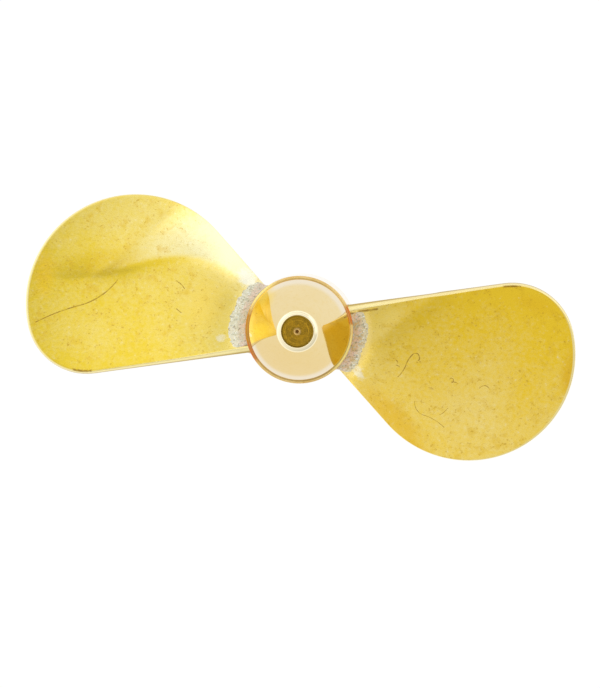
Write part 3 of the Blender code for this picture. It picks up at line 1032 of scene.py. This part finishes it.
def hub_brass():
    """Turned and polished brass: mirror-like nose with painted reflections of the blades and the floor
    and painted shade on one side, dull darker end with painted shade and a painted highlight, and a rim
    tinted by the soldering heat with painted shade at its foot."""
    material, paint, shader = new_material("hub_brass")
    place = paint.place()
    x, y, z = paint.axes(place)
    radius = paint.length(x, y)
    cloud = paint.noise(place, 2.2, 4.0, 0.6)
    fine = paint.noise(place, 0.5, 3.0, 0.6)
    rings = paint.noise(paint.node("ShaderNodeCombineXYZ", None, [radius, z * 0.6, 0.0]), 0.12, 2.0, 0.5)

    # Parts of the hub, by height and radius.
    nose = paint.between(z, SHOULDER_Z, SHOULDER_Z + 0.1)
    base = nose * paint.between(z, SHOULDER_Z + 1.9, SHOULDER_Z + 0.9)
    end = paint.between(z, HUB_LENGTH - 0.14, HUB_LENGTH - 0.1) * paint.between(radius, *END_BORDER)
    rim = paint.between(z, SHOULDER_Z - 0.5, SHOULDER_Z - 0.1)
    rim = rim * paint.between(z, SHOULDER_Z + 0.08, SHOULDER_Z + 0.02)
    foot_shade = paint.window(radius, *RIM_FOOT_SHADE_LINE) * paint.between(z, SHOULDER_Z - 0.2, SHOULDER_Z)

    # Its turned sides and its nose, with painted reflections and painted shade on the nose.
    shade = paint.mix(cloud, HUB_BRASS, HUB_PALE_BRASS)
    shade = paint.mix(paint.between(fine, 0.45, 0.75) * 0.35, shade, HUB_FLECK)
    # Painted shade: the nose turns browner towards -y.
    lower_shade = paint.between(y + 0.15 * x, 1.5, -4.0)
    shade = paint.mix(nose * lower_shade * 0.45, shade, NOSE_LOWER_SHADE)
    # Painted reflections of the blades on the nose.
    blade_reflection = paint.larger(paint.patches(x, y, NOSE_REFLECTION_LEFT), paint.wedge(x, y, *NOSE_REFLECTION_RIGHT))
    shade = paint.mix(nose * blade_reflection * 0.8, shade, NOSE_BLADE_REFLECTION)
    bright_reflection = paint.patches(x, y, NOSE_BRIGHT_REFLECTION_PATCHES)
    shade = paint.mix(nose * bright_reflection * 0.7, shade, NOSE_BRIGHT_REFLECTION)
    # Painted reflection of the floor round the nose's base, where no blade is reflected.
    shade = paint.mix(base * (1.0 - blade_reflection) * 0.75, shade, NOSE_BASE_REFLECTION)
    shade = paint.mix(paint.between(radius, *NOSE_TOP_ENDS), shade, NOSE_TOP_PALE)

    shade = paint.mix(end, shade, parted_end(paint, radius, fine))
    shade = paint.mix(rim, shade, tinted_rim(paint, x, y, cloud, fine))
    # Painted shade in the corner at the rim's foot.
    shade = paint.mix(foot_shade * 0.6, shade, RIM_FOOT_SHADE)
    paint.feed(shader, "Base Color", shade)
    paint.feed(shader, "Roughness", 0.05 + 0.1 * end + 0.25 * rim)
    paint.feed(shader, "Normal", paint.bump(0.0006 * rings))
    shader.inputs["Metallic"].default_value = 1.0
    return material


# Colours of the solder.
LEFT_TAN = (0.64, 0.55, 0.42)
RIGHT_TAN = (0.62, 0.42, 0.18)
SOLDER_PINK = (0.80, 0.56, 0.44)
LEFT_TOE = (0.72, 0.72, 0.54)
RIGHT_TOE = (0.76, 0.69, 0.43)
SOLDER_GREY = (0.48, 0.49, 0.36)
SOLDER_WHITE = (0.92, 0.93, 0.84)
# Painted shade for the pits.
SOLDER_PIT_SHADE = (0.30, 0.25, 0.15)
# How near the shaft its two sides blend, and the radii between which the toe's colour starts.
SOLDER_SIDES_BLEND = 2.0
TOE_STARTS = (6.9, 7.6)


def silver_solder():
    """Pale crusty solder: tan and pinkish at the hub, whiter at its toe, with dull grey pits darkened by
    painted shade.
    """
    material, paint, shader = new_material("silver_solder")
    place = paint.place()
    x, y = paint.axes(place, 2)
    radius = paint.length(x, y)
    left = paint.left(x, SOLDER_SIDES_BLEND)
    cloud = paint.noise(place, 0.9, 3.0, 0.6)
    patch = paint.noise(place, 0.5, 2.0, 0.5)
    pits = paint.noise(place, 0.3, 2.0, 0.5)
    fine = paint.noise(place, 0.25, 3.0, 0.6)
    toe = paint.between(radius + 1.2 * (cloud - 0.5), *TOE_STARTS)
    shade = paint.mix(left, RIGHT_TAN, LEFT_TAN)
    shade = paint.mix(paint.between(cloud, 0.42, 0.6) * 0.8, shade, SOLDER_PINK)
    shade = paint.mix(toe * 0.8, shade, paint.mix(left, RIGHT_TOE, LEFT_TOE))
    shade = paint.mix(paint.between(patch, 0.52, 0.6) * 0.6, shade, SOLDER_GREY)
    shade = paint.mix(paint.between(fine, 0.52, 0.62) * (0.3 + 0.5 * toe), shade, SOLDER_WHITE)
    # Painted shade in the low spots of the bump, the pits.
    shade = paint.mix(paint.between(pits, 0.42, 0.34) * 0.75, shade, SOLDER_PIT_SHADE)
    paint.feed(shader, "Base Color", shade)
    paint.feed(shader, "Roughness", 0.38 + 0.2 * fine)
    paint.feed(shader, "Normal", paint.bump(0.03 * fine + 0.04 * pits))
    shader.inputs["Metallic"].default_value = 0.35
    return material


def photo_direction(angle, lean):
    """Unit vector that leans from the shaft towards an angle of the photograph."""
    turn = math.radians(angle + PHOTO_TURN)
    tip = math.radians(lean)
    return Vector((math.sin(tip) * math.cos(turn), math.sin(tip) * math.sin(turn), math.cos(tip)))


def add_camera():
    """Looks almost straight down the shaft, so that the photograph's width fits at the blades' height."""
    camera = bpy.data.objects.new("camera", bpy.data.cameras.new("camera"))
    bpy.context.scene.collection.objects.link(camera)
    bpy.context.scene.camera = camera
    right = photo_direction(0.0, 90.0)
    up = photo_direction(90.0, 90.0)
    middle = Vector((0.0, 0.0, BLADE_MID_Z))
    target = right * PHOTO_CENTRE_RIGHT_OF_HUB - up * PHOTO_CENTRE_BELOW_HUB + middle
    back = photo_direction(CAMERA_TILT_TOWARD, CAMERA_TILT)
    side = up.cross(back).normalized()
    turn = Matrix((side, back.cross(side), back)).transposed()
    camera.matrix_world = Matrix.Translation((target + back * CAMERA_DISTANCE) * MM) @ turn.to_4x4()
    camera.data.sensor_fit = "HORIZONTAL"
    camera.data.lens = camera.data.sensor_width * CAMERA_DISTANCE / PHOTO_WIDTH
    camera.data.clip_start = CAMERA_NEAREST * MM
    camera.data.clip_end = CAMERA_FARTHEST * MM


def add_floor():
    """A pale glowing table, as a light table under the part."""
    size = FLOOR_HALF_SIZE * MM
    mesh = bpy.data.meshes.new("floor")
    corners = [(-size, -size, 0.0), (size, -size, 0.0), (size, size, 0.0), (-size, size, 0.0)]
    mesh.from_pydata(corners, [], [(0, 1, 2, 3)])
    floor = bpy.data.objects.new("floor", mesh)
    bpy.context.scene.collection.objects.link(floor)
    material, _, shader = new_material("floor")
    shader.inputs["Base Color"].default_value = (FLOOR_GREY, FLOOR_GREY, FLOOR_GREY, 1.0)
    shader.inputs["Roughness"].default_value = 1.0
    shader.inputs["Specular IOR Level"].default_value = 0.0
    shader.inputs["Emission Color"].default_value = (1.0, 1.0, 1.0, 1.0)
    shader.inputs["Emission Strength"].default_value = FLOOR_GLOW
    mesh.materials.append(material)


class Dome:
    """Measures directions of the world: lean from straight above, and bearings in the photograph."""

    def __init__(self, paint):
        self.paint = paint
        self.direction = paint.node("ShaderNodeTexCoord", output="Generated")
        height = self.along(photo_direction(0.0, 0.0))
        self.lean = paint.maths("ARCCOSINE", height) * math.degrees(1.0)

    def along(self, axis):
        """The direction's share along an axis."""
        inputs = [self.direction, tuple(axis)]
        return self.paint.node("ShaderNodeVectorMath", {"operation": "DOT_PRODUCT"}, inputs, 1)

    def ring(self, low, high, soft):
        """A soft ring between two leans."""
        return self.paint.window(self.lean, low, high, soft)

    def light(self, bearing, half_width, leans, soft, strength):
        """A soft window of light round one bearing, between two leans."""
        ahead = self.along(photo_direction(bearing, 90.0))
        aside = self.along(photo_direction(bearing + 90.0, 90.0))
        off = self.paint.maths("ARCTAN2", aside, ahead) * math.degrees(1.0)
        width = self.paint.window(off, -half_width, half_width, soft)
        return width * self.ring(*leans, soft) * strength


def add_dome():
    """Soft white dome, darker straight above, where the camera stands, with its windows and shades."""
    world = bpy.data.worlds.new("dome")
    bpy.context.scene.world = world
    world.use_nodes = True
    paint = Paint(world.node_tree)
    dome = Dome(paint)
    top = DOME_MIDDLE_SHARE + (1 - DOME_MIDDLE_SHARE) * paint.between(dome.lean, *DOME_MIDDLE)
    side = DOME_STRENGTH + DOME_BRIGHTER * dome.along(photo_direction(DOME_BRIGHT_BEARING, 90.0))
    outer = 1.0 - DIM_RING_LOSS * dome.ring(*DIM_RING)
    around = dome.ring(*BRIGHT_RING) * BRIGHT_RING_STRENGTH
    glow = HORIZON_STRENGTH + HORIZON_BRIGHTER * dome.along(photo_direction(90.0, 90.0))
    strength = top * side * outer + around + dome.ring(*HORIZON_RING) * glow
    for values in DOME_LIGHTS:
        strength = strength + dome.light(*values)
    background = world.node_tree.nodes["Background"]
    paint.feed(background, "Strength", strength)
    background.inputs["Color"].default_value = (1.0, 1.0, 1.0, 1.0)


sheet = blade_brass()
for number, heading in ((1, 0.0), (2, 180.0)):
    name = f"blade_{number}"
    rows = blade_rows(CORNER_RADII[name], BLADE_CREASES[name])
    # Painted highlight and painted shade along the blade's creases, stored on the mesh.
    painted_light = blade_painted_light(rows, BLADE_CREASES[name])
    fields = {"edge": blade_edge(CORNER_RADII[name]), "depth": blade_depth(), "painted_light": painted_light}
    blade = closed_skin(f"{name}_skin", turned(rows, heading), sheet, **fields)
    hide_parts(name)
hub = closed_skin("hub_skin", hub_rows(), hub_brass())
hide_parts("hub")
solder = silver_solder()
for name, heading, side, seed, reach, span in SOLDER_RUNS:
    crust = closed_skin(f"{name}_skin", turned(solder_rows(side, seed, reach, span), heading), solder)
    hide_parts(name)
add_camera()
add_floor()
add_dome()
bpy.context.scene.view_settings.view_transform = "Standard"
